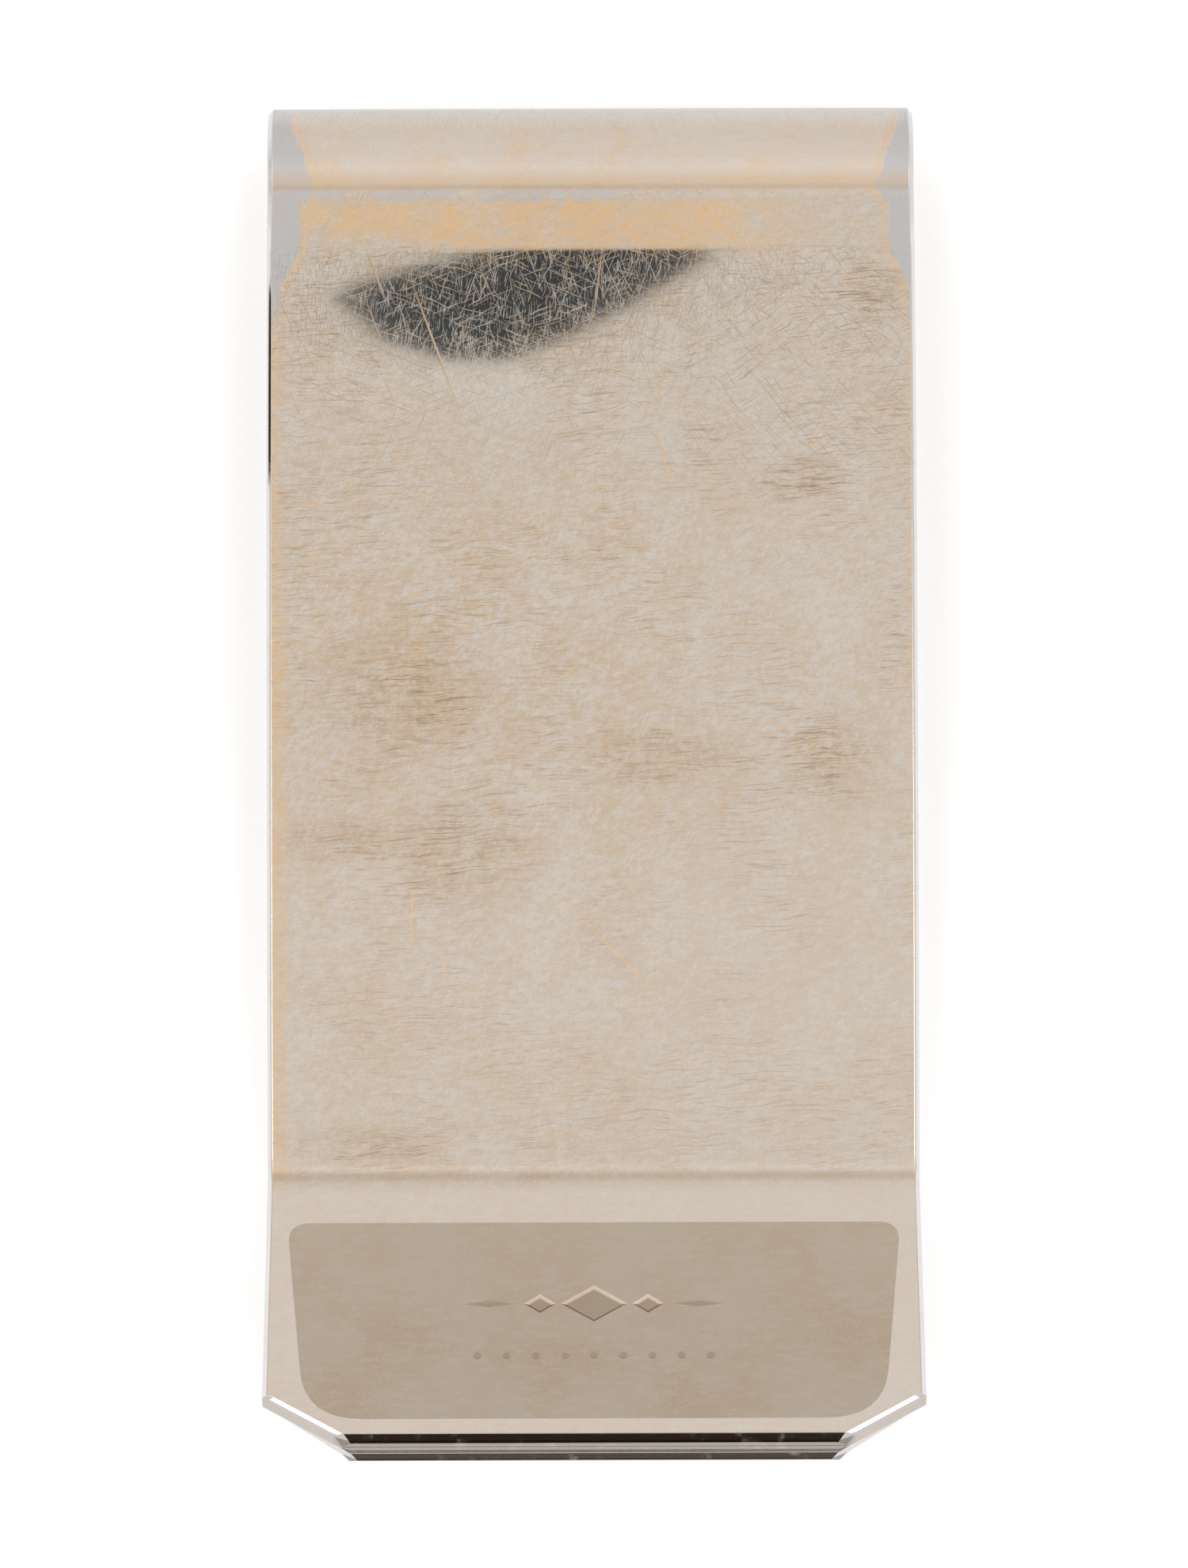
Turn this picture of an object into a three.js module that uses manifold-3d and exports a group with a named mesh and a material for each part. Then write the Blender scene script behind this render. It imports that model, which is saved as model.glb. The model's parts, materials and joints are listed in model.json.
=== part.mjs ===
// Money clip: one plated spring strip, folded back on itself.
//
// The clip lies on the outer face of its front plate. X runs across the strip, Y runs along it with the
// folded end at +Y and the thumb lip at -Y, and Z rises from the front plate to the spring leaf.
// The strip is made in lengths between its fold lines, so that the shoulder, leaf and lip can swing about
// the bend as one body while the front plate and the bend stay still.
import * as THREE from "three";
import Module from "manifold-3d";
import { mergeVertices } from "three/addons/utils/BufferGeometryUtils.js";

const wasm = await Module();
wasm.setup();

// ---- driving dimensions (mm); points of a fold lie on the strip's middle line ----
const STRIP_WIDTH = 25;
const STRIP_THICKNESS = 1;
const EDGE_BEVEL = 0.2;

const PLATE_END_Y = -26.1;
const PLATE_CORNER_CUT = { across: 2.8, along: 2 };

const BEND_CENTRE = { y: 24, z: 2.3 };
const BEND_SWEEP = THREE.MathUtils.degToRad(195);

const SHOULDER_START = { y: 22.9, z: 3.84 }; // short of the bend's end, to leave room for the swing
const KINK = { y: 20.3, z: 4.25 };
const KINK_ROUNDING = 0.4;

const LEAF_BOW = [{ y: 11.5, z: 4.75 }, { y: -3, z: 3.8 }];
const PINCH = { y: -15.5, z: 1.75 }; // the leaf's closest line to the front plate
const PINCH_ROUNDING = 0.8;

const LIP_END = { y: -25.85, z: 7.86 };
const LIP_CORNER_CUT = { across: 2.75, along: 2 };

// The lip's sunk panel, with its distances along the lip from the pinch line.
const PANEL = { start: 2.3, end: 11, topHalf: 11.6, bottomHalf: 10.8, depth: 0.08 };
const PANEL_ROUNDING = { top: 0.8, bottom: 2 };

// ---- middle lines, as curves in the Y-Z plane ----
const point = ({ y, z }) => new THREE.Vector2(y, z);

function towards(from, to, distance) {
  return to.clone().sub(from).setLength(distance).add(from);
}

// A fold: straight to the rounding, round the turn, and straight on to the end.
function fold(start, turn, end, rounding) {
  const before = towards(turn, start, rounding);
  const after = towards(turn, end, rounding);
  const path = new THREE.CurvePath();
  path.add(new THREE.LineCurve(start, before));
  path.add(new THREE.QuadraticBezierCurve(before, turn, after));
  path.add(new THREE.LineCurve(after, end));
  return path;
}

// ---- strip ----
// One cross-section: a flat bar with bevelled edges, square to the middle line.
function section(place, tangent, halfWidth, thickness) {
  const flat = halfWidth - EDGE_BEVEL;
  const face = thickness / 2;
  const side = face - EDGE_BEVEL;
  const ring = [
    [halfWidth, side],
    [flat, face],
    [-flat, face],
    [-halfWidth, side],
    [-halfWidth, -side],
    [-flat, -face],
    [flat, -face],
    [halfWidth, -side],
  ];
  return ring.map(([x, n]) => [x, place.x - tangent.y * n, place.y + tangent.x * n]);
}

// Joins a row of matching cross-sections into one closed solid with flat ends.
function loft(rings) {
  const count = rings[0].length;
  const last = (rings.length - 1) * count;
  const faces = [];
  for (let i = 0; i < last; i += count) {
    for (let j = 0; j < count; j++) {
      const next = (j + 1) % count;
      faces.push(i + j, i + j + count, i + next);
      faces.push(i + next, i + j + count, i + next + count);
    }
  }
  for (let j = 1; j + 1 < count; j++) {
    faces.push(0, j, j + 1);
    faces.push(last, last + j + 1, last + j);
  }
  const geometry = new THREE.BufferGeometry();
  geometry.setAttribute("position", new THREE.Float32BufferAttribute(rings.flat(2), 3));
  geometry.setIndex(faces);
  return geometry;
}

// A length of strip along a curve. A free end has its corners cut off and its edges bevelled.
function strip(curve, steps, cornerCut = { across: 0, along: 0 }) {
  const length = curve.getLength();
  const halfWidth = STRIP_WIDTH / 2;
  const rings = [];
  const addRing = (distance, half, thickness) => {
    const t = distance / length;
    rings.push(section(curve.getPointAt(t), curve.getTangentAt(t), half, thickness));
  };
  const fullLength = length - cornerCut.along;
  for (let i = 0; i <= steps; i++) {
    addRing((fullLength * i) / steps, halfWidth, STRIP_THICKNESS);
  }
  if (cornerCut.along > 0) {
    const endHalf = halfWidth - cornerCut.across;
    addRing(length - EDGE_BEVEL, endHalf, STRIP_THICKNESS);
    addRing(length, endHalf - EDGE_BEVEL, STRIP_THICKNESS - 2 * EDGE_BEVEL);
  }
  return loft(rings);
}

// ---- cutting ----
function toSolid(geometry) {
  const bare = geometry.clone();
  bare.deleteAttribute("normal");
  bare.deleteAttribute("uv");
  const welded = mergeVertices(bare, 1e-4);
  return new wasm.Manifold(
    new wasm.Mesh({
      numProp: 3,
      vertProperties: new Float32Array(welded.attributes.position.array),
      triVerts: new Uint32Array(welded.index.array),
    })
  );
}

function cut(geometry, cutter) {
  const mesh = toSolid(geometry).subtract(toSolid(cutter)).getMesh();
  const result = new THREE.BufferGeometry();
  result.setAttribute("position", new THREE.Float32BufferAttribute(mesh.vertProperties, 3));
  result.setIndex(new THREE.BufferAttribute(mesh.triVerts, 1));
  return result;
}

// The panel's outline narrows a little towards the lip's end, where its corners are rounder.
function panelOutline() {
  const { start, end, topHalf, bottomHalf } = PANEL;
  const { top, bottom } = PANEL_ROUNDING;
  const shape = new THREE.Shape();
  shape.moveTo(top - topHalf, start);
  shape.lineTo(topHalf - top, start);
  shape.quadraticCurveTo(topHalf, start, topHalf, start + top);
  shape.lineTo(bottomHalf, end - bottom);
  shape.quadraticCurveTo(bottomHalf, end, bottomHalf - bottom, end);
  shape.lineTo(bottom - bottomHalf, end);
  shape.quadraticCurveTo(-bottomHalf, end, -bottomHalf, end - bottom);
  shape.lineTo(-topHalf, start + top);
  shape.quadraticCurveTo(-topHalf, start, top - topHalf, start);
  return shape;
}

// Stands the panel's outline on the lip, sunk below the lip's outer face.
function panelCutter() {
  const along = point(LIP_END).sub(point(PINCH)).normalize();
  const out = new THREE.Vector3(0, along.y, -along.x);
  const floor = out.clone().multiplyScalar(STRIP_THICKNESS / 2 - PANEL.depth);
  const stand = new THREE.Matrix4().makeBasis(
    new THREE.Vector3(-1, 0, 0),
    new THREE.Vector3(0, along.x, along.y),
    out
  );
  stand.setPosition(floor.x, floor.y + PINCH.y, floor.z + PINCH.z);
  const slab = new THREE.ExtrudeGeometry(panelOutline(), { depth: 1, bevelEnabled: false, curveSegments: 6 });
  return slab.applyMatrix4(stand);
}

// ---- the clip ----
const group = new THREE.Group();

function addPart(name, geometry) {
  const plating = new THREE.MeshStandardMaterial({ color: 0xc8b9a6, roughness: 0.3, metalness: 1 });
  const mesh = new THREE.Mesh(geometry, plating);
  mesh.name = name;
  group.add(mesh);
}

// Front body: the flat plate, and the rolled bend that starts from its top end.
const plateTop = new THREE.Vector2(BEND_CENTRE.y, STRIP_THICKNESS / 2);
const plateEnd = new THREE.Vector2(PLATE_END_Y, STRIP_THICKNESS / 2);
addPart("front_plate", strip(new THREE.LineCurve(plateTop, plateEnd), 1, PLATE_CORNER_CUT));

const bendRadius = BEND_CENTRE.z - STRIP_THICKNESS / 2;
const bendStart = -Math.PI / 2;
const bendLine = new THREE.EllipseCurve(
  BEND_CENTRE.y,
  BEND_CENTRE.z,
  bendRadius,
  bendRadius,
  bendStart,
  bendStart + BEND_SWEEP
);
addPart("spring_bend", strip(bendLine, 30));

// Leaf body: the shoulder below the bend, the long leaf, and the flared thumb lip with its sunk panel.
const leafTop = towards(point(KINK), point(LEAF_BOW[0]), 1.5 * KINK_ROUNDING);
const leafEnd = towards(point(PINCH), point(LEAF_BOW[1]), 1.2 * PINCH_ROUNDING);

addPart("spring_shoulder", strip(fold(point(SHOULDER_START), point(KINK), leafTop, KINK_ROUNDING), 12));

const leafLine = new THREE.CubicBezierCurve(leafTop, point(LEAF_BOW[0]), point(LEAF_BOW[1]), leafEnd);
addPart("spring_leaf", strip(leafLine, 24));

const lip = strip(fold(leafEnd, point(PINCH), point(LIP_END), PINCH_ROUNDING), 40, LIP_CORNER_CUT);
addPart("thumb_lip", cut(lip, panelCutter()));

export default group;
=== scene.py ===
"""Money clip: one plated spring strip, folded back on itself, in a plain studio.

The visible strip follows one middle line in the Y-Z plane. Its five lengths are separate closed pieces that
meet at the fold lines. The bend's piece is attached to neither body.
Every mesh carries "strip", the strip's own coordinates in millimetres: across, along and through. Along is
what Y would be if the strip were flattened out at the kink, so the wear runs on over the folds.
"""
import json
import math

import bmesh
import bpy
import numpy as np
from mathutils import Matrix, Vector


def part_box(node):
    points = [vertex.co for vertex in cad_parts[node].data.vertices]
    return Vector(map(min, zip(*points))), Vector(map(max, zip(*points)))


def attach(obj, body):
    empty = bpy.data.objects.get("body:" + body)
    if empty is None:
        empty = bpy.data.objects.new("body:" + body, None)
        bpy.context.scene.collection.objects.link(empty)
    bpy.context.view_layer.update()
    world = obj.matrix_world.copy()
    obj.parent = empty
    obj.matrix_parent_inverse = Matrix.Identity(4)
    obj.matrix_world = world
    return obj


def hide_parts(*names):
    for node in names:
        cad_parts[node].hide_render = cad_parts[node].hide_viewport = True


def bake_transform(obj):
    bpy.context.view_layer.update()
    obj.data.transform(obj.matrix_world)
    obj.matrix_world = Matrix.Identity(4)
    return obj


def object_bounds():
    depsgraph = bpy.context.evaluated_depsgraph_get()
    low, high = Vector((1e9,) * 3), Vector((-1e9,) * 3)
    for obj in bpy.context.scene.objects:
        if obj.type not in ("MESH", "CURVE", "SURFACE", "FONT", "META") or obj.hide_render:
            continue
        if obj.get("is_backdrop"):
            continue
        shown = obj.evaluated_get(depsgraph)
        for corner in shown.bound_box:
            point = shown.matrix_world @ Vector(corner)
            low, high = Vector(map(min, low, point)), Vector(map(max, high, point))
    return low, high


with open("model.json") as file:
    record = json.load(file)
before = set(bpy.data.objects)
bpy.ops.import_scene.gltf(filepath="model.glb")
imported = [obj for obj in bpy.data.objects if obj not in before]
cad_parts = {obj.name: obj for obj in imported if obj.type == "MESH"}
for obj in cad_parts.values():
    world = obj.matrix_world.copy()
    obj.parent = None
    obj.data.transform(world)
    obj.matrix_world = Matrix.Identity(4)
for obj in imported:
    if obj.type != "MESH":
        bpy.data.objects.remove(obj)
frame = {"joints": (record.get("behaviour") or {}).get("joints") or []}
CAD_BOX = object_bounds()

MM = 0.001

# ---- sizes from the frame ----
plate_lo, plate_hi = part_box("front_plate")
shoulder_lo, shoulder_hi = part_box("spring_shoulder")
_, leaf_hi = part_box("spring_leaf")
lip_lo, lip_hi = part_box("thumb_lip")
pivot = Vector(frame["joints"][0]["pos_m"])

THICKNESS = plate_hi.z - plate_lo.z
HALF_WIDTH = plate_hi.x
FACE = THICKNESS / 2

EDGE_BEVEL = 0.19 * MM
END_BEVEL = 0.28 * MM
CUT_BEVEL = 0.31 * MM  # the long bevel over a cut corner, measured across the strip
EDGE_ROUNDING = 0.03 * MM
CORNER_CUT = {"front_plate": (2.8 * MM, 2.0 * MM), "thumb_lip": (2.75 * MM, 2.0 * MM)}  # across, along

PANEL_DEPTH = 0.035 * MM
PANEL_WALL = 0.10 * MM
PANEL_START = 2.3 * MM  # from the pinch line, along the lip
PANEL_END = 11.0 * MM
PANEL_TOP_HALF = 11.6 * MM
PANEL_BOTTOM_HALF = 10.8 * MM
PANEL_TOP_ROUNDING = 0.8 * MM
PANEL_BOTTOM_ROUNDING = 2.1 * MM
ORNAMENT_DEPTH = 0.075 * MM
ORNAMENT_WALL = 0.13 * MM
LOZENGE = (1.25 * MM, 0.82 * MM)  # half width, half height, as in the next three
SMALL_LOZENGE = (0.6 * MM, 0.42 * MM)
TAPERED_RULE = (1.15 * MM, 0.17 * MM)
DOT = (0.19 * MM, 0.19 * MM)


# ---- the strip's middle line ----
def point(y, z):
    return np.array([y, z])


def towards(start, end, distance):
    step = end - start
    return start + step * distance / np.linalg.norm(step)


def curve(points, steps):
    """A Bezier curve through the first and last of the points, as rows of coordinates."""
    t = np.linspace(0, 1, steps + 1)[:, None]
    degree = len(points) - 1
    return sum(math.comb(degree, i) * t**i * (1 - t) ** (degree - i) * p for i, p in enumerate(points))


def rounded(before, turn, after, rounding, steps=14):
    """The rounded corner at turn, between the lines to before and after."""
    return curve([towards(turn, before, rounding), turn, towards(turn, after, rounding)], steps)


plate_end = point(plate_lo.y, FACE)
bend_start = point(pivot.y, FACE)
bend_radius = pivot.z - FACE
bend_turn = np.radians(np.linspace(-90, 105, 66))
bend_arc = point(pivot.y, pivot.z) + bend_radius * np.stack([np.cos(bend_turn), np.sin(bend_turn)], 1)
crease = point(shoulder_hi.y - 0.2 * MM, shoulder_lo.z + FACE - 0.01 * MM)
kink = point(leaf_hi.y + 0.57 * MM, shoulder_hi.z - FACE - 0.03 * MM)
leaf_bow = [point(11.5 * MM, leaf_hi.z - FACE + 0.35 * MM), point(-3 * MM, leaf_hi.z - FACE - 0.6 * MM)]
pinch = point(lip_hi.y - 1.03 * MM, lip_lo.z + FACE - 0.1 * MM)
lip_end = point(lip_lo.y + 0.15 * MM, lip_hi.z - 0.33 * MM)
leaf_top = towards(kink, leaf_bow[0], 0.6 * MM)
leaf_end = towards(pinch, leaf_bow[1], 0.96 * MM)
lip_along = (lip_end - pinch) / np.linalg.norm(lip_end - pinch)
lip_out = point(lip_along[1], -lip_along[0])

LENGTHS = {
    "front_plate": [plate_end[None], bend_start[None]],
    "spring_bend": [bend_arc[1:], rounded(bend_arc[-1], crease, kink, 0.55 * MM)],
    "spring_shoulder": [rounded(crease, kink, leaf_bow[0], 0.16 * MM), leaf_top[None]],
    "spring_leaf": [curve([leaf_top, *leaf_bow, leaf_end], 60)[1:]],
    "thumb_lip": [rounded(leaf_end, pinch, lip_end, 0.8 * MM), lip_end[None]],
}

spine = np.concatenate([part for parts in LENGTHS.values() for part in parts])
spine_ends = np.cumsum([0] + [sum(len(part) for part in parts) for parts in LENGTHS.values()])
steps = np.diff(spine, axis=0)
step_lengths = np.linalg.norm(steps, axis=1)
headings = steps / step_lengths[:, None]
spine_at = np.concatenate([[0], np.cumsum(step_lengths)])
tangents = np.concatenate([headings[:1], headings[:-1] + headings[1:], headings[-1:]])
tangents /= np.linalg.norm(tangents, axis=1)[:, None]
normals = np.stack([tangents[:, 1], -tangents[:, 0]], 1)  # out of the loop
kink_at = spine_at[np.argmin(np.linalg.norm(spine - kink, axis=1))]


def strip_coordinates(places):
    """Across, along and through, in millimetres, for points given as rows of (x, y, z)."""
    flat = places[:, None, 1:] - spine[None, :-1]
    along = np.clip((flat * headings).sum(2), 0, step_lengths)
    away = flat - along[:, :, None] * headings
    nearest = np.argmin(np.linalg.norm(away, axis=2), axis=1)
    rows = np.arange(len(places))
    outward = np.stack([headings[nearest, 1], -headings[nearest, 0]], 1)
    through = (away[rows, nearest] * outward).sum(1)
    unrolled = kink[0] + kink_at - spine_at[nearest] - along[rows, nearest]
    return np.stack([places[:, 0], unrolled, through], 1) / MM


# ---- mesh ----
def bevelled(half, face, bevel_across):
    """A bar's cross-section, as (x, through) pairs. Its bevels' own corners are slightly rounded."""
    flat = half - bevel_across
    side = face - EDGE_BEVEL
    quarter = [(half, side), (flat, face)]
    signs = ((1, 1), (-1, 1), (-1, -1), (1, -1))
    corners = [np.array([sx * x, sn * n]) for sx, sn in signs for x, n in quarter[:: sx * sn]]
    after = corners[1:] + corners[:1]
    ring = [rounded(corners[i - 1], corner, after[i], EDGE_ROUNDING, 3) for i, corner in enumerate(corners)]
    return np.concatenate(ring)


def section(place, normal, half=HALF_WIDTH, face=FACE, bevel_across=EDGE_BEVEL):
    """The cross-section stood at a place on the middle line, as rows of (x, y, z)."""
    x, through = bevelled(half, face, bevel_across).T
    return np.column_stack([x, place[0] + through * normal[0], place[1] + through * normal[1]])


def make_object(name, mesh):
    made = bpy.data.objects.new(name, mesh)
    bpy.context.scene.collection.objects.link(made)
    return made


def loft(name, sections):
    """One closed piece through matching cross-sections, with flat ends."""
    count = len(sections[0])
    rows = len(sections)
    faces = []
    for i in range(rows - 1):
        for j in range(count):
            a = i * count + j
            b = i * count + (j + 1) % count
            faces.append((a, b, b + count, a + count))
    faces.append(tuple(reversed(range(count))))
    faces.append(tuple(range((rows - 1) * count, rows * count)))
    mesh = bpy.data.meshes.new(name)
    mesh.from_pydata([tuple(p) for p in np.concatenate(sections)], [], faces)
    tidy = bmesh.new()
    tidy.from_mesh(mesh)
    bmesh.ops.recalc_face_normals(tidy, faces=tidy.faces)
    tidy.to_mesh(mesh)
    tidy.free()
    return make_object(name, mesh)


def strip_length(name):
    """One length of the strip, with a finished end where the strip is free."""
    index = list(LENGTHS).index(name)
    first = max(spine_ends[index] - 1, 0)
    rows = range(first, spine_ends[index + 1])
    sections = [section(spine[i], normals[i]) for i in rows]
    if name == "front_plate":
        sections[:1] = reversed(end_sections(spine[0], -tangents[0], normals[0], *CORNER_CUT[name]))
    if name == "thumb_lip":
        sections[-1:] = end_sections(spine[-1], tangents[-1], normals[-1], *CORNER_CUT[name])
    return loft(name + "_strip", sections)


def end_sections(end, outward, normal, cut_across, cut_along):
    """The cross-sections of a free end, from where its corners are cut to its bevelled end face."""
    full = np.array([cut_along, 0, 0])  # back from the end, in from the sides, and in from the faces
    cut = np.array([END_BEVEL, cut_across, 0])
    bevel = np.array([0, cut_across + END_BEVEL, END_BEVEL])
    rim = bevel + [0, 0.05 * MM, 0.05 * MM]
    path = [rounded(full, cut, bevel, EDGE_ROUNDING, 3), rounded(cut, bevel, rim, EDGE_ROUNDING, 3)]
    along_cut = [full + (cut - full) * share for share in (0.04, 0.07, 0.94)]
    start = section(end - outward * cut_along, normal)
    return [start] + [section(end - outward * back, normal, HALF_WIDTH - across, FACE - through, CUT_BEVEL)
                      for back, across, through in np.concatenate([along_cut, *path])]


# ---- the lip's sunk panel and its plain ornament ----
def rounded_outline(corners, rounding):
    """A closed outline as (x, along) pairs, with its corners rounded by the distances given."""
    corners = [np.array(c) for c in corners]
    after = corners[1:] + corners[:1]
    turns = [rounded(corners[i - 1], corner, after[i], rounding[i], 8) for i, corner in enumerate(corners)]
    return np.concatenate(turns)


def widened(outline, distance):
    """The outline moved outwards by a distance."""
    edges = np.roll(outline, -1, axis=0) - outline
    edges /= np.linalg.norm(edges, axis=1)[:, None]
    across = np.stack([edges[:, 1], -edges[:, 0]], 1)
    corners = across + np.roll(across, 1, axis=0)
    corners /= (1 + (across * np.roll(across, 1, axis=0)).sum(1))[:, None]
    return outline + corners * distance


def sunk_prism(builder, outline, bottom, face, depth):
    """Adds a cutter that sinks an outline into a face, with walls that lean in to the bottom outline."""
    above = 0.2
    loops = []
    mouth = outline + (outline - bottom) * above
    for reach, ring in ((face - depth, bottom), (face + depth * above, mouth)):
        places = [pinch + lip_along * along + lip_out * reach for x, along in ring]
        loops.append([builder.verts.new((x, y, z)) for (x, _), (y, z) in zip(ring, places)])
    low, high = loops
    builder.faces.new(low)
    builder.faces.new(reversed(high))
    for i in range(len(low)):
        builder.faces.new((low[i - 1], high[i - 1], high[i], low[i]))


def cut_away(target, prisms):
    """Cuts a set of sunk prisms from a piece."""
    builder = bmesh.new()
    for prism in prisms:
        sunk_prism(builder, *prism)
    bmesh.ops.recalc_face_normals(builder, faces=builder.faces)
    mesh = bpy.data.meshes.new("cutter")
    builder.to_mesh(mesh)
    builder.free()
    cutter = make_object("cutter", mesh)
    boolean = target.modifiers.new("cut", "BOOLEAN")
    boolean.operation = "DIFFERENCE"
    boolean.solver = "EXACT"
    boolean.object = cutter
    result = bpy.data.meshes.new_from_object(target.evaluated_get(bpy.context.evaluated_depsgraph_get()))
    target.modifiers.clear()
    target.data = result
    bpy.data.objects.remove(cutter)


def sunk_shape(x, along, half_width, half_height, corners):
    """A regular outline stretched to a size about a centre, with its smaller bottom outline."""
    turns = 2 * np.pi * np.arange(corners) / corners
    reach = np.stack([half_width * np.cos(turns), half_height * np.sin(turns)], 1)
    centre = np.array([x, along])
    return centre + reach, centre + reach * (1 - ORNAMENT_WALL / half_height)


def ornament():
    """A lozenge between two smaller ones and two tapered rules, over a row of dots."""
    middle = PANEL_START + 3.6 * MM
    shapes = [sunk_shape(0, middle, *LOZENGE, 4)]
    for side in (-1, 1):
        shapes.append(sunk_shape(side * 2.05 * MM, middle, *SMALL_LOZENGE, 4))
        shapes.append(sunk_shape(side * 3.95 * MM, middle, *TAPERED_RULE, 4))
    for x in np.linspace(-4.4, 4.4, 9) * MM:
        shapes.append(sunk_shape(x, middle + 2.35 * MM, *DOT, 16))
    return shapes


pieces = {name: strip_length(name) for name in LENGTHS}

panel_outline = rounded_outline(
    [(PANEL_TOP_HALF, PANEL_START), (PANEL_BOTTOM_HALF, PANEL_END),
     (-PANEL_BOTTOM_HALF, PANEL_END), (-PANEL_TOP_HALF, PANEL_START)],
    [PANEL_TOP_ROUNDING, PANEL_BOTTOM_ROUNDING, PANEL_BOTTOM_ROUNDING, PANEL_TOP_ROUNDING],
)
panel_top_edge = widened(panel_outline, PANEL_WALL)
cut_away(pieces["thumb_lip"], [(panel_top_edge, panel_outline, FACE, PANEL_DEPTH)])
panel_floor = FACE - PANEL_DEPTH
cut_away(pieces["thumb_lip"], [(*shape, panel_floor, ORNAMENT_DEPTH) for shape in ornament()])


# ---- material building ----
class Material:
    """A node tree with short calls, which take sockets or plain values and return an output socket."""

    def __init__(self, name):
        self.material = bpy.data.materials.new(name)
        self.material.use_nodes = True
        self.tree = self.material.node_tree
        self.shader = self.tree.nodes["Principled BSDF"]

    def node(self, kind, inputs, output=0, **settings):
        made = self.tree.nodes.new(kind)
        for key, value in settings.items():
            setattr(made, key, value)
        for key, value in inputs.items():
            self.set(made.inputs[key], value)
        return made.outputs[output]

    def set(self, socket, value):
        if isinstance(value, bpy.types.NodeSocket):
            self.tree.links.new(value, socket)
        else:
            socket.default_value = value

    def math(self, operation, a, b=0.0, clamp=False):
        return self.node("ShaderNodeMath", {0: a, 1: b}, operation=operation, use_clamp=clamp)

    def add(self, a, b):
        return self.math("ADD", a, b)

    def times(self, a, b):
        return self.math("MULTIPLY", a, b)

    def largest(self, *values):
        result = values[0]
        for value in values[1:]:
            result = self.math("MAXIMUM", result, value)
        return result

    def ramp(self, value, low, high):
        """0 at low and 1 at high, with a smooth step between. Low may be the larger."""
        return self.node("ShaderNodeMapRange", {"Value": value, "From Min": low, "From Max": high},
                         interpolation_type="SMOOTHSTEP")

    def between(self, value, low, high, soft):
        """1 from low to high, fading to 0 over soft on both sides."""
        rise = self.ramp(value, low - soft, low + soft)
        fall = self.ramp(value, high + soft, high - soft)
        return self.times(rise, fall)

    def noise(self, place, scale, detail=2.0, roughness=0.5, output="Fac"):
        return self.node("ShaderNodeTexNoise", {"Vector": place, "Scale": scale, "Detail": detail,
                                                "Roughness": roughness}, output)

    def mix(self, amount, a, b):
        return self.node("ShaderNodeMix", {0: amount, 6: a, 7: b}, 2, data_type="RGBA")

    def turned(self, place, angle, scale, shift=(0, 0, 0)):
        """The place in axes turned by an angle, and divided by a scale."""
        return self.node("ShaderNodeMapping", {"Vector": place, "Location": shift,
                                               "Rotation": (0, 0, math.radians(angle)), "Scale": scale},
                         vector_type="TEXTURE")

    def hairlines(self, place, angle, length, width, threshold, soft=0.05):
        """Scratches of about a length and width along an angle, as a mask."""
        stretched = self.turned(place, angle, (length, width, 1), (angle * 0.37, angle * 0.11, 0))
        return self.ramp(self.noise(stretched, 1.0, 1.0), threshold, threshold + soft)

    def stroke(self, place, start, end, width):
        """One scratch from start to end, with ends that taper away."""
        (x0, y0), (x1, y1) = start, end
        angle = math.degrees(math.atan2(y1 - y0, x1 - x0))
        half = math.hypot(x1 - x0, y1 - y0) / 2
        local = self.turned(place, angle, (half, width, 1), ((x0 + x1) / 2, (y0 + y1) / 2, 0))
        parts = self.tree.nodes.new("ShaderNodeSeparateXYZ")
        self.set(parts.inputs[0], local)
        reach = self.ramp(self.math("ABSOLUTE", parts.outputs[0]), 1.0, 0.3)
        return self.times(reach, self.ramp(self.math("ABSOLUTE", parts.outputs[1]), 1.0, 0.2))

    def smudge(self, place, centre, reach):
        """A soft round mark about a centre."""
        local = self.turned(place, 0, (*reach, 1), (*centre, 0))
        flat = self.node("ShaderNodeVectorMath", {0: local, 1: (1, 1, 0)}, operation="MULTIPLY")
        distance = self.node("ShaderNodeVectorMath", {0: flat}, "Value", operation="LENGTH")
        return self.ramp(distance, 1.3, 0.2)


def strip_place(m):
    """The strip's coordinates: the place itself, and its across, along and through."""
    place = m.node("ShaderNodeAttribute", {}, "Vector", attribute_name="strip")
    parts = m.tree.nodes.new("ShaderNodeSeparateXYZ")
    m.set(parts.inputs[0], place)
    return place, parts.outputs[0], parts.outputs[1], parts.outputs[2]


SILVER = (0.660, 0.600, 0.535, 1)
TAN = (0.600, 0.455, 0.315, 1)
BROWN = (0.360, 0.250, 0.150, 1)
PALE = (0.700, 0.615, 0.540, 1)
GOLD = (0.770, 0.510, 0.280, 1)
BARE_GREY_AND_SHADE = (0.535, 0.528, 0.530, 1)
POLISHED = (0.600, 0.590, 0.585, 1)
FLANK = (0.430, 0.390, 0.345, 1)
INNER_SHADE = (0.250, 0.200, 0.150, 1)
STAINED = (0.330, 0.255, 0.180, 1)
END_SHADE = (0.080, 0.070, 0.060, 1)
ETCHED = (0.485, 0.408, 0.330, 1)
ETCHED_BROWN = (0.455, 0.350, 0.250, 1)
ETCHED_LIGHT = (0.525, 0.450, 0.370, 1)
ETCHED_GREY = (0.520, 0.465, 0.410, 1)
ETCHED_PAINTED_LIGHT = (0.600, 0.510, 0.410, 1)

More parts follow.
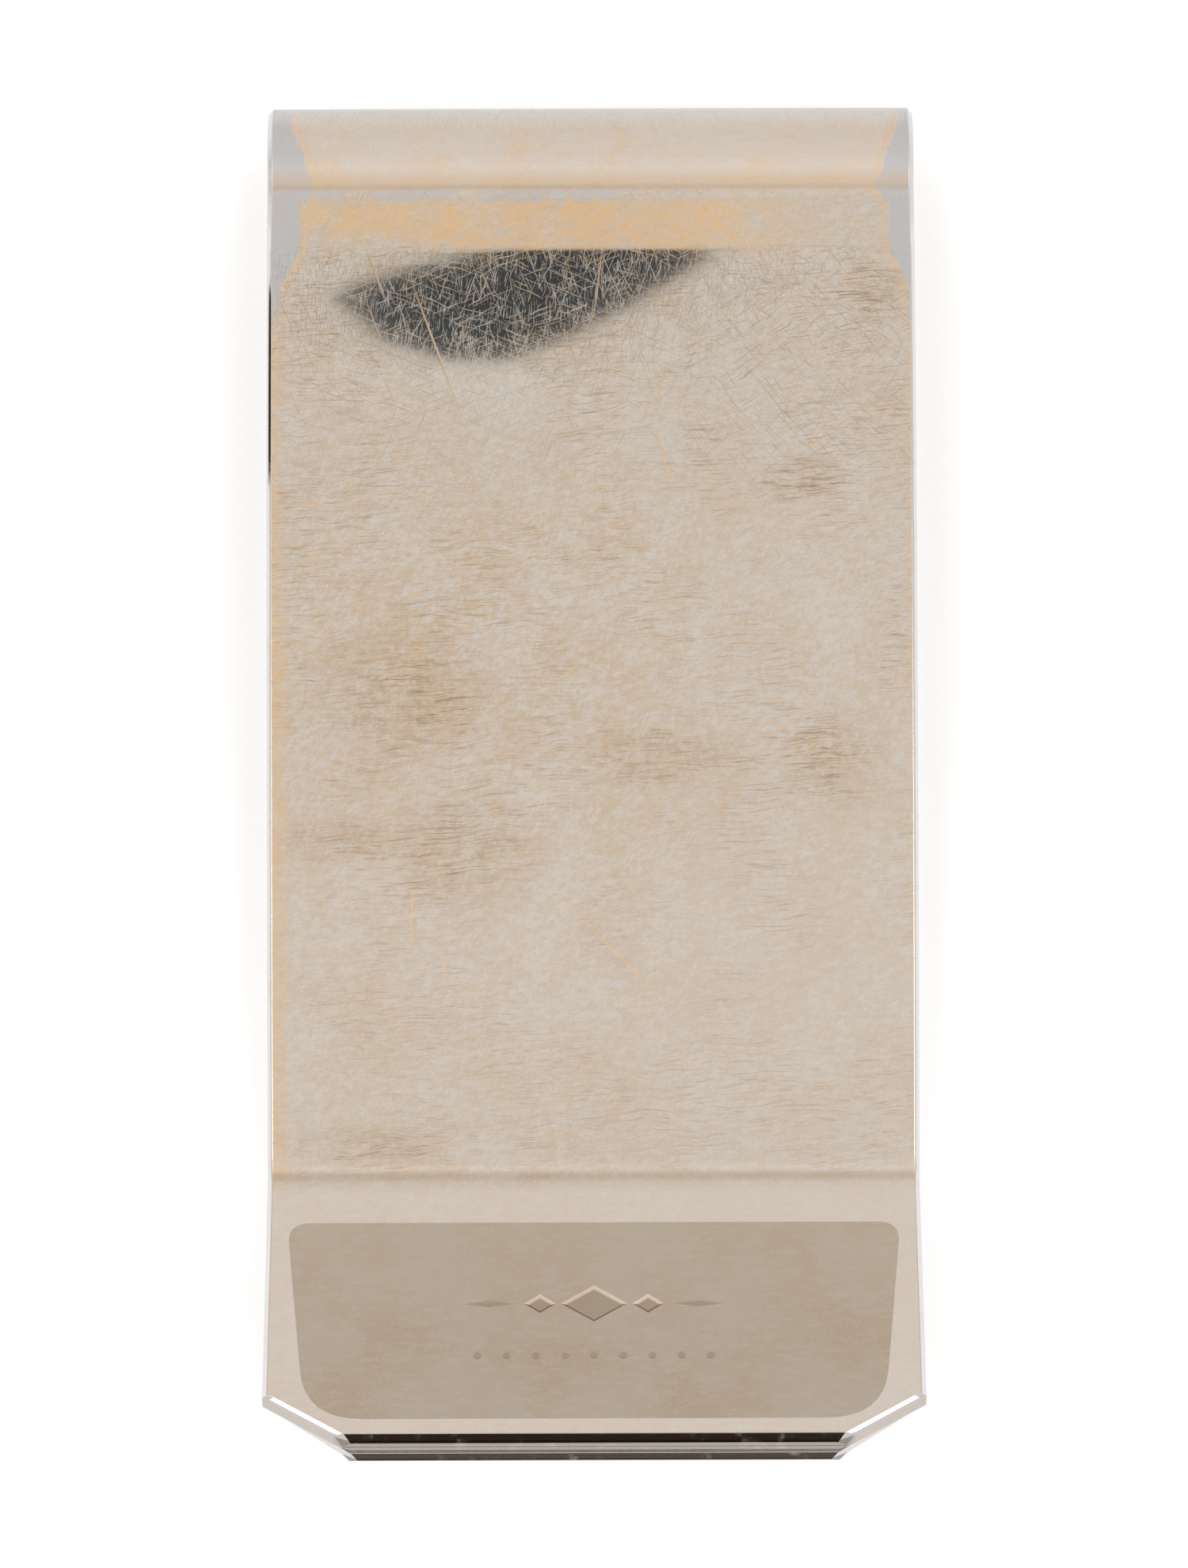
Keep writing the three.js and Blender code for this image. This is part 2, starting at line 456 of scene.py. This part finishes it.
# Longer scratches that cut to the gold, as (start, end, half width) in the strip's coordinates.
GOLD_STROKES = [
    ((-9.3, 22.2), (-7.7, 17.6), 0.045),
    ((-7.2, 19.8), (-4.8, 13.2), 0.055),
    ((3.0, 16.2), (2.3, 13.6), 0.045),
    ((2.3, 14.0), (3.2, 10.5), 0.040),
    ((-6.9, -4.0), (-7.0, -7.0), 0.055),
    ((-1.8, -4.2), (3.2, -9.1), 0.035),
    ((-5.8, -6.6), (-5.6, -8.4), 0.045),
    ((0.5, 20.8), (0.1, 17.4), 0.045),
]

# Places that handling has browned, as (centre, reach) in the strip's coordinates.
SMUDGES = [
    ((7.9, 11.2), (2.0, 1.1)),
    ((-7.2, 3.2), (3.6, 2.6)),
    ((-9.2, -2.6), (3.2, 1.0)),
    ((-5.0, -3.0), (3.0, 2.4)),
    ((2.5, 0.6), (3.4, 1.4)),
    ((-8.6, -14.2), (3.0, 0.9)),
    ((9.2, 0.5), (2.2, 2.0)),
    ((10.8, 18.6), (1.6, 1.4)),
]


# Along the strip, the crease is at 22.8, the kink at 20.3 and the pinch line at -15.5.
class Strip:
    """The strip as a material sees it: its coordinates, plain and warped, and masks of its regions."""

    def __init__(self, m):
        self.place, self.across, self.along, self.through = strip_place(m)
        self.side = m.math("ABSOLUTE", m.add(self.across, -0.15))
        self.inner = m.ramp(self.through, 0.1, -0.1)
        self.on_folds = m.ramp(self.along, 20.1, 20.5)
        self.on_bend = m.ramp(self.along, 22.8, 23.3)
        self.on_lip = m.ramp(self.along, -15.4, -16.4)
        self.off_lip = m.ramp(self.along, -16.6, -15.0)
        self.on_leaf = m.times(self.off_lip, m.ramp(self.along, 20.6, 20.2))
        self.near_top = m.ramp(self.along, 8, 14)
        wander = m.noise(self.place, 0.5, 2, output="Color")
        warp = m.node("ShaderNodeVectorMath", {0: wander, 1: (0.5, 0.5, 0)}, operation="MULTIPLY")
        self.bent = m.node("ShaderNodeVectorMath", {0: self.place, 1: warp}, operation="ADD")


class Marks:
    """Streaks, scratches and smudges: mostly across the strip, with upright ones near the leaf's top."""

    def __init__(self, m, strip):
        bent = strip.bent
        self.mottle = m.noise(m.turned(bent, 5, (0.42, 0.17, 1), (3, 8, 0)), 1.0, 6, 0.74)
        self.cross_streaks = m.noise(m.turned(bent, 3, (1.00, 0.040, 1)), 1.0, 3, 0.6)
        up_streaks = m.noise(m.turned(bent, 86, (0.55, 0.030, 1), (7, 3, 0)), 1.0, 2, 0.6)
        self.fibres = m.noise(m.turned(bent, 40, (0.35, 0.07, 1), (2, 9, 0)), 1.0, 4, 0.65)
        self.threads = m.noise(m.turned(bent, -52, (0.45, 0.06, 1), (5, 1, 0)), 1.0, 4, 0.65)
        hairs = m.largest(*[m.hairlines(bent, angle, 1.5, 0.040, 0.67) for angle in (22, 66, 112, 158)])
        self.hairs = m.times(hairs, strip.off_lip)
        self.strokes = m.largest(*[m.stroke(strip.place, *stroke) for stroke in GOLD_STROKES])
        self.smudges = m.largest(*[m.smudge(strip.place, *smudge) for smudge in SMUDGES])
        upright = m.times(m.ramp(up_streaks, 0.57, 0.68), strip.near_top)
        self.nap = m.largest(upright, m.ramp(self.fibres, 0.64, 0.74), m.ramp(self.threads, 0.65, 0.75),
                             m.ramp(self.cross_streaks, 0.67, 0.75), self.hairs, self.strokes)


class Wear:
    """Ragged borders for the worn places, and how near each place is to the unworn sides."""

    def __init__(self, m, strip):
        self.ragged = m.add(m.noise(m.turned(strip.place, 90, (0.4, 0.14, 1)), 1.0, 6, 0.78), -0.5)
        self.coarse = m.noise(strip.place, 0.55, 3, 0.6)
        self.rubbed = m.noise(m.turned(strip.bent, -20, (0.40, 0.08, 1), (6, 2, 0)), 1.0, 5, 0.7)
        self.along = m.add(strip.along, m.times(self.ragged, 1.8))
        self.by_folds = m.ramp(strip.along, 16.5, 19)
        above_crease = m.times(m.ramp(strip.along, 25.6, 22.9), 0.85)
        below_crease = m.times(m.ramp(strip.along, 22.75, 22.1), -0.45)
        below_kink = m.times(m.ramp(strip.along, 20.6, 18.6), -0.75)
        flare = m.add(m.add(above_crease, below_crease), below_kink)
        self.edge = m.add(m.add(strip.side, m.times(self.ragged, 1.1)), flare)


def mottled(m, strip, marks):
    """The plating's own colour: silver, clouded with tan."""
    cloud = m.noise(strip.place, 0.30, 4, 0.62)
    crossed = m.noise(m.turned(strip.bent, 70, (0.36, 0.11, 1), (1, 6, 0)), 1.0, 5, 0.72)
    tinted = m.add(m.times(marks.mottle, 0.65), m.times(crossed, 0.35))
    tinted = m.add(tinted, m.times(m.add(m.add(cloud, marks.fibres), -1.0), 0.28))
    tinted = m.add(tinted, m.times(marks.smudges, 0.07))
    tinted = m.times(m.ramp(tinted, 0.38, 0.62), m.add(0.86, m.times(strip.near_top, -0.20)))
    tinted = m.times(tinted, m.add(1.0, m.times(m.ramp(strip.across, 0, 5), -0.22)))
    return m.mix(tinted, SILVER, TAN)


def browned(m, strip, marks, drift, colour):
    """Adds the brown streaks, and the grainy brown of the smudges and threads."""
    grain = m.noise(strip.place, 3.2, 5, 0.7)
    dusky = m.times(m.ramp(marks.cross_streaks, 0.53, 0.66), m.add(m.ramp(drift, 0.40, 0.58), marks.smudges))
    dusky = m.times(dusky, m.add(0.30, m.times(strip.on_leaf, 0.30)))
    dusky = m.times(dusky, m.add(1.0, m.times(strip.on_lip, -0.8)))
    grainy = m.ramp(m.add(grain, m.times(marks.cross_streaks, 0.6)), 0.72, 0.98)
    colour = m.mix(dusky, colour, BROWN)
    colour = m.mix(m.times(m.times(marks.smudges, grainy), 0.42), colour, BROWN)
    return m.mix(m.times(m.ramp(marks.threads, 0.56, 0.74), 0.18), colour, BROWN)


def scratched(m, strip, marks, drift, colour):
    """Adds the brown hair scratches, finer ones at the leaf's upper right, and specks rubbed to gold."""
    angles = (8, 35, 128, 146)
    fine_hairs = m.largest(*[m.hairlines(strip.bent, angle, 1.5, 0.038, 0.655) for angle in angles])
    upper_right = m.times(m.ramp(strip.across, 1, 6), m.times(m.ramp(strip.along, 10, 13), strip.on_leaf))
    fine_hairs = m.times(m.times(fine_hairs, upper_right), 0.50)
    hairs = m.times(marks.hairs, m.add(0.26, m.times(strip.on_bend, -0.18)))
    colour = m.mix(m.largest(hairs, fine_hairs), colour, BROWN)
    specks = m.noise(m.turned(strip.bent, 15, (0.45, 0.10, 1), (4, 4, 0)), 1.0, 2)
    specks = m.times(m.ramp(specks, 0.63, 0.70), m.ramp(drift, 0.42, 0.56))
    return m.mix(m.times(m.add(0.2, m.times(strip.off_lip, 0.8)), m.times(specks, 0.70)), colour, GOLD)


def rubbed_gold(m, strip, marks, wear):
    """Where the plating is rubbed to gold: the shoulder, the crease, the borders and the long scratches."""
    reach_down = m.times(m.ramp(strip.across, -8, -4), 0.7)
    band = m.times(m.ramp(wear.along, 22.45, 22.1), m.ramp(m.add(wear.along, reach_down), 20.3, 21.3))
    band = m.times(band, m.ramp(m.add(strip.across, m.times(wear.coarse, 5)), 12.2, 7.8))
    band = m.times(band, m.ramp(m.add(wear.rubbed, m.times(wear.coarse, 0.5)), 0.58, 0.86))
    over = m.ramp(m.add(wear.rubbed, m.times(wear.coarse, 0.6)), 0.66, 0.92)
    over = m.times(m.between(strip.along, 22.95, 23.25, 0.40), over)
    haze = m.ramp(m.add(wear.rubbed, m.times(wear.coarse, 0.8)), 0.90, 1.14)
    haze = m.times(haze, m.between(strip.along, 23.2, 25.2, 0.9))
    border = m.times(m.between(wear.edge, 11.45, 11.72, 0.2), wear.by_folds)
    border = m.times(border, m.ramp(wear.rubbed, 0.36, 0.56))
    left_side = m.times(m.ramp(strip.across, -10, -11), m.ramp(strip.along, 12, 4))
    leaf_edge = m.add(m.add(strip.side, marks.mottle), m.times(left_side, 0.18))
    leaf_border = m.times(m.ramp(leaf_edge, 12.42, 12.75), strip.on_leaf)
    strengths = ((band, 0.88), (over, 0.75), (haze, 0.42), (border, 0.65), (leaf_border, 0.36),
                 (marks.strokes, 0.8))
    return m.largest(*[m.times(mask, strength) for mask, strength in strengths])


def bare_grey(m, strip, wear):
    """Where the metal is cool grey: the unworn sides by the folds, and a broken line below the crease."""
    sides = m.times(m.ramp(wear.edge, 11.72, 11.85), wear.by_folds)
    line = m.times(m.between(wear.along, 22.25, 22.78, 0.1), m.ramp(wear.coarse, 0.38, 0.52))
    line = m.times(line, m.ramp(strip.across, 6, 0))
    return m.times(m.largest(sides, m.times(line, 0.7)), 0.85)


def folds(m, strip, wear, colour):
    """Adds painted shade: the bend's greyer top, and the tan and brown lines of the crease and the pinch."""
    along = strip.along
    # Painted shade: the bend's top, where it turns steeply away, is painted a darker neutral grey.
    colour = m.mix(m.times(m.ramp(along, 25.0, 25.8), 0.7), colour, BARE_GREY_AND_SHADE)
    colour = m.mix(m.times(m.ramp(along, 24.2, 25.2), 0.16), colour, FLANK)
    # Painted shade: tan beside the crease on the bend, and patchy brown lines in the crease and the pinch.
    colour = m.mix(m.times(m.between(along, 22.75, 23.5, 0.30), 0.55), colour, TAN)
    at_crease = m.times(m.between(along, 22.80, 22.95, 0.16), 0.25)
    at_pinch = m.times(m.between(along, -15.62, -15.36, 0.34), 0.85)
    patchy = m.add(m.times(wear.coarse, 0.8), 0.4)
    return m.mix(m.times(m.largest(at_crease, at_pinch), patchy), colour, BROWN)


def plating_roughness(m, strip, marks):
    """A mirror polish under the scratches on the leaf, duller where the folds are rubbed."""
    along = strip.along
    rough = m.add(0.072, m.times(marks.nap, 0.20))
    rough = m.add(rough, m.times(m.largest(m.ramp(along, -14.4, -15.2), strip.on_folds), 0.20))
    rough = m.add(rough, m.times(strip.on_bend, 0.20))
    rough = m.add(rough, m.times(m.between(along, 22.35, 22.85, 0.15), 0.25))
    rough = m.add(rough, m.times(m.ramp(along, 15.5, 11), 0.14))
    rough = m.add(rough, m.times(m.ramp(along, -15.9, -16.6), -0.16))
    return m.add(rough, m.times(strip.inner, 0.2))


def plating():
    """Worn champagne plating: mottled, scratched, rubbed to gold at the folds and grey at the sides."""
    m = Material("champagne_plating")
    strip = Strip(m)
    marks = Marks(m, strip)
    wear = Wear(m, strip)
    drift = m.noise(m.turned(strip.place, 0, (1, 1, 1), (31, 17, 0)), 0.22, 3, 0.6)
    colour = mottled(m, strip, marks)
    colour = browned(m, strip, marks, drift, colour)
    colour = scratched(m, strip, marks, drift, colour)
    lower_leaf = m.times(m.ramp(strip.along, 4, -8), 0.25)
    paler = m.largest(m.times(m.largest(strip.on_lip, strip.on_bend), 0.65), lower_leaf)
    colour = m.mix(paler, colour, PALE)
    colour = m.mix(rubbed_gold(m, strip, marks, wear), colour, GOLD)
    colour = m.mix(bare_grey(m, strip, wear), colour, BARE_GREY_AND_SHADE)
    colour = folds(m, strip, wear, colour)
    # Painted shade: the inner faces, inside the clip, are painted a darker brown.
    m.set(m.shader.inputs["Base Color"], m.mix(m.times(strip.inner, 0.7), colour, INNER_SHADE))
    m.set(m.shader.inputs["Metallic"], 1.0)
    m.set(m.shader.inputs["Roughness"], plating_roughness(m, strip, marks))
    height = m.times(m.add(marks.nap, m.largest(marks.hairs, marks.strokes)), -0.6)
    bump = m.node("ShaderNodeBump", {"Strength": 0.2, "Distance": 0.003 * MM, "Height": height})
    m.set(m.shader.inputs["Normal"], bump)
    return m.material


def polished():
    """Bright polished bevels and walls, with faint rubbing along them."""
    m = Material("polished_edge")
    place, across, along, through = strip_place(m)
    rubbed = m.noise(place, 1.4, 4, 0.65)
    flank = m.ramp(m.math("ABSOLUTE", through), 0.32, 0.28)
    end_face = m.times(m.ramp(m.math("ABSOLUTE", across), 9.9, 9.6), 0.35)
    colour = m.mix(flank, POLISHED, m.mix(end_face, FLANK, END_SHADE))
    colour = m.mix(m.times(m.ramp(rubbed, 0.5, 0.8), 0.5), colour, TAN)
    m.set(m.shader.inputs["Base Color"], colour)
    m.set(m.shader.inputs["Metallic"], 1.0)
    rough = m.add(0.07, m.times(m.ramp(rubbed, 0.55, 0.75), 0.10))
    m.set(m.shader.inputs["Roughness"], m.add(rough, m.times(m.between(along, 21.2, 29.8, 0.4), 0.30)))
    return m.material


def satin():
    """The sunk panel: the same plating with an even, matt etched face, and faint brown stains."""
    m = Material("satin_panel")
    place, _, along, through = strip_place(m)
    stipple = m.noise(place, 7, 3, 0.65)
    cloud = m.noise(place, 0.28, 3, 0.6)
    weave = m.noise(m.turned(place, 2, (0.55, 0.20, 1), (9, 5, 0)), 1.0, 5, 0.7)
    upper = m.ramp(along, -24.5, -17.5)
    stains = m.ramp(m.add(cloud, m.times(weave, 0.6)), 0.62, 1.02)
    colour = m.mix(m.times(stains, 0.8), ETCHED, ETCHED_BROWN)
    colour = m.mix(m.times(m.ramp(stipple, 0.40, 0.70), 0.30), colour, ETCHED_LIGHT)
    colour = m.mix(m.times(m.ramp(weave, 0.50, 0.34), 0.35), colour, ETCHED_GREY)
    # Painted light: the panel is painted lighter and warmer towards its top.
    colour = m.mix(m.times(upper, 0.22), colour, ETCHED_PAINTED_LIGHT)
    engraved = m.ramp(through, 0.464, 0.43)
    colour = m.mix(m.times(engraved, 0.55), colour, STAINED)
    m.set(m.shader.inputs["Base Color"], colour)
    m.set(m.shader.inputs["Metallic"], 1.0)
    m.set(m.shader.inputs["Roughness"], m.add(0.34, m.times(stipple, 0.12)))
    bump = m.node("ShaderNodeBump", {"Strength": 0.3, "Distance": 0.003 * MM, "Height": stipple})
    m.set(m.shader.inputs["Normal"], bump)
    return m.material


FINISHES = [plating(), satin(), polished()]
PLATING, SATIN, POLISHED_EDGE = range(3)


def finish_of(face_normal, place, is_lip):
    """The finish of a face: plating on the strip's two faces, satin in the panel, and polish elsewhere."""
    _, along, through = place
    outward = normals[np.argmin(np.abs(kink[0] + kink_at - spine_at - along * MM))]
    facing = abs(face_normal.y * outward[0] + face_normal.z * outward[1])
    below_rim = 0 < through * MM < FACE - 0.1 * PANEL_DEPTH
    if is_lip and below_rim and facing > 0.75:
        return SATIN
    return PLATING if facing > 0.9 else POLISHED_EDGE


def dress(piece):
    """Stores the strip's coordinates on a piece, and gives it its materials and shading."""
    mesh = piece.data
    places = np.array([v.co for v in mesh.vertices])
    stored = mesh.attributes.new("strip", "FLOAT_VECTOR", "POINT")
    stored.data.foreach_set("vector", strip_coordinates(places).astype(np.float32).ravel())
    mesh.materials.clear()
    for finish in FINISHES:
        mesh.materials.append(finish)
    centres = strip_coordinates(np.array([face.center for face in mesh.polygons]))
    for face, place in zip(mesh.polygons, centres):
        face.material_index = finish_of(face.normal, place, piece == pieces["thumb_lip"])
        face.use_smooth = face.material_index != SATIN
    mesh.set_sharp_from_angle(angle=math.radians(32))
    weighted = piece.modifiers.new("weighted_normals", "WEIGHTED_NORMAL")
    weighted.keep_sharp = True


for name, piece in pieces.items():
    dress(piece)
    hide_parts(name)
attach(pieces["front_plate"], "front")
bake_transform(pieces["spring_bend"])
for name in ("spring_shoulder", "spring_leaf", "thumb_lip"):
    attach(pieces[name], "leaf")


# ---- studio ----
def plain_material(name, colour):
    m = Material(name)
    m.set(m.shader.inputs["Base Color"], colour)
    m.set(m.shader.inputs["Roughness"], 0.8)
    m.set(m.shader.inputs["Specular IOR Level"], 0.0)
    return m.material


def sheet(name, corners, material):
    mesh = bpy.data.meshes.new(name)
    mesh.from_pydata(corners, [], [tuple(range(len(corners)))])
    mesh.materials.append(material)
    made = make_object(name, mesh)
    made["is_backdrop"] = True
    return made


def reflection_card(name, corners, colour):
    """A card that the metal mirrors and nothing else sees."""
    card = sheet(name, corners, plain_material(name, (*colour, 1)))
    card.visible_camera = False
    card.visible_diffuse = False
    card.visible_shadow = False
    return card


WHITE = (1, 1, 1, 1)
FLOOR_REACH = 2.0
CORNERS = ((-1, -1), (1, -1), (1, 1), (-1, 1))
floor_corners = [(x * FLOOR_REACH, y * FLOOR_REACH, -0.01 * MM) for x, y in CORNERS]
lit_floor = plain_material("pale_floor", (0.93, 0.925, 0.92, 1))
floor_glow = lit_floor.node_tree.nodes["Principled BSDF"].inputs
floor_glow["Emission Color"].default_value = WHITE
floor_glow["Emission Strength"].default_value = 0.22
sheet("floor", floor_corners, lit_floor)

# What the top of the leaf mirrors. The outline is in millimetres, at CARD_HEIGHT.
CARD_HEIGHT = 65
card_outline = [(-11.9, 34.2), (-9.7, 29.5), (-6.6, 27.6), (-3.8, 27.5), (-1.3, 29.6), (1.8, 33.0),
                (4.0, 36.6), (5.4, 38.5), (5.4, 45), (-4.0, 45), (-5.2, 39.4), (-8.4, 37.8), (-10.8, 36.0)]
card_corners = [Vector((x, y, CARD_HEIGHT)) * MM for x, y in card_outline]
reflection_card("lens_card", card_corners, (0.050, 0.066, 0.080))

# What the left edge and the two free ends mirror, in metres.
side_corners = [(-0.08, y, z) for y, z in ((0.0205, 0), (0.0205, 0.02), (0.0345, 0.02), (0.0345, 0))]
reflection_card("side_card", side_corners, (0.030, 0.022, 0.018))
end_corners = [(x, y, 0.26) for x, y in ((-0.03, -0.26), (0.03, -0.26), (0.03, -0.125), (-0.03, -0.125))]
reflection_card("end_flag", end_corners, (0.024, 0.014, 0.010))
low_corners = [(-0.035, -0.35, 0), (0.035, -0.35, 0), (0.035, -0.35, 0.04), (-0.035, -0.35, 0.04)]
reflection_card("low_flag", low_corners, (0.09, 0.075, 0.06))


def softbox(name, position):
    light = bpy.data.lights.new(name, "AREA")
    light.shape = "SQUARE"
    light.size = SOFTBOX_SIZE
    light.energy = SOFTBOX_POWER
    lamp = bpy.data.objects.new(name, light)
    bpy.context.scene.collection.objects.link(lamp)
    lamp.location = position
    lamp.rotation_euler = (-Vector(position)).to_track_quat("-Z", "Y").to_euler()


SOFTBOX_SIZE = 0.25
SOFTBOX_POWER = 0.7
softbox("left_softbox", (-0.42, -0.12, 0.42))
softbox("right_softbox", (0.42, -0.12, 0.42))

world = bpy.data.worlds.new("studio_tent")
world.use_nodes = True
tent_light = world.node_tree.nodes["Background"].inputs
tent_light["Color"].default_value = WHITE
tent_light["Strength"].default_value = 0.95
bpy.context.scene.world = world
bpy.context.scene.view_settings.view_transform = "Standard"

# ---- camera: nearly straight down on the spring leaf, from a little towards the lip ----
CAMERA_DISTANCE = 311.3 * MM
CAMERA_AIM = Vector((0.06, 0.12, 0)) * MM
CAMERA_TILT = math.radians(7)
CAMERA_ROLL = math.radians(-0.18)
camera_data = bpy.data.cameras.new("camera")
camera_data.lens = 184
camera_data.sensor_width = 36
camera = bpy.data.objects.new("camera", camera_data)
bpy.context.scene.collection.objects.link(camera)
lean = Matrix.Rotation(CAMERA_TILT, 4, "X")
roll = Matrix.Rotation(CAMERA_ROLL, 4, "Z")
back = Matrix.Translation((0, 0, CAMERA_DISTANCE))
camera.matrix_world = Matrix.Translation(CAMERA_AIM) @ lean @ roll @ back
bpy.context.scene.camera = camera

bpy.context.view_layer.update()
[[list(corner) for corner in box] for box in (CAD_BOX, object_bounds())]
